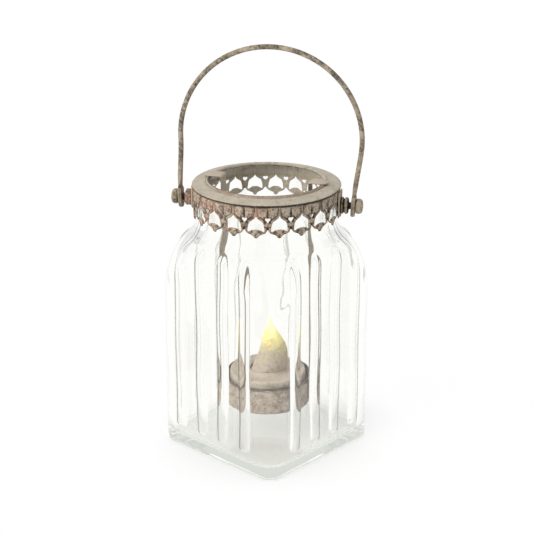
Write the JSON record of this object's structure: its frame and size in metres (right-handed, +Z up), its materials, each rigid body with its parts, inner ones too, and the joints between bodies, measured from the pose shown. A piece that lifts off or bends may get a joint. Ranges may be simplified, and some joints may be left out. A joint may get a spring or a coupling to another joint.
{
  "type": "mason jar lantern",
  "caption": "Square ribbed glass jar lantern with a pierced metal collar, a swinging wire bail and a lift-out hanging cup with a battery tealight",
  "frame": {"origin": "on the table under the middle of the jar", "axes": "+X along the pins that the bail turns on, +Y across them towards the rear, +Z up; the jar's diagonals are turned 12.8 degrees from X and Y"},
  "size_m": [0.104, 0.104, 0.2149],
  "materials": {
    "clear_glass": "clear pressed glass, faintly green where it is thick",
    "collar_paint": "satin taupe paint, rubbed through to brown at its edges",
    "lace_paint": "satin taupe paint over embossed sheet, darker in the hollows",
    "bail_paint": "brushed-on taupe paint over brown metal, mottled and worn",
    "cup_paint": "satin taupe paint with brown worn edges",
    "wax_plastic": "ivory, soft sheen like wax",
    "flame_plastic": "translucent warm flame, brighter towards its tip",
    "lamp_plastic": "clear warm lens",
    "board_green": "solder-masked laminate",
    "cell_steel": "nickel-plated",
    "contact_brass": "plated spring strip",
    "screw_steel": "zinc-plated",
    "switch_plastic": "moulded, dark grey"
  },
  "bodies": {
    "lantern": {"glass_jar": "clear_glass", "collar_plate": "collar_paint", "lace_band_front": "lace_paint", "lace_band_rear": "lace_paint", "lug_plate_left": "lace_paint", "lug_plate_right": "lace_paint", "lug_boss_left": "bail_paint", "lug_boss_right": "bail_paint", "pivot_pin_left": "bail_paint", "pivot_pin_right": "bail_paint"},
    "bail": {"bail_handle": "bail_paint"},
    "candle_holder": {"candle_cup": "cup_paint", "hanger_strap_left": "cup_paint", "hanger_strap_right": "cup_paint", "strap_rivet_left": "bail_paint", "strap_rivet_right": "bail_paint"},
    "tealight": {"tealight_shell": "wax_plastic", "flame_bulb": "flame_plastic", "led_lamp": "lamp_plastic", "circuit_board": "board_green", "coin_cell": "cell_steel", "cell_contact_upper": "contact_brass", "cell_contact_lower": "contact_brass", "battery_door": "wax_plastic", "door_screw": "screw_steel", "switch_housing": "switch_plastic"},
    "switch": {"switch_slider": "switch_plastic"}
  },
  "joints": [
    {"name": "bail_hinge", "type": "hinge", "parent": "lantern", "child": "bail", "pos_m": [0, 0, 0.13332], "axis": [1, 0, 0], "range_deg": [-132, 132]},
    {"name": "holder_lift", "type": "slide", "parent": "lantern", "child": "candle_holder", "axis": [0, 0, 1], "range_m": [0, 0.048]},
    {"name": "tealight_lift", "type": "slide", "parent": "candle_holder", "child": "tealight", "axis": [0, 0, 1], "range_m": [0, 0.09]},
    {"name": "switch_slide", "type": "slide", "parent": "tealight", "child": "switch", "axis": [0, 1, 0], "range_m": [-0.002, 0]}
  ]
}
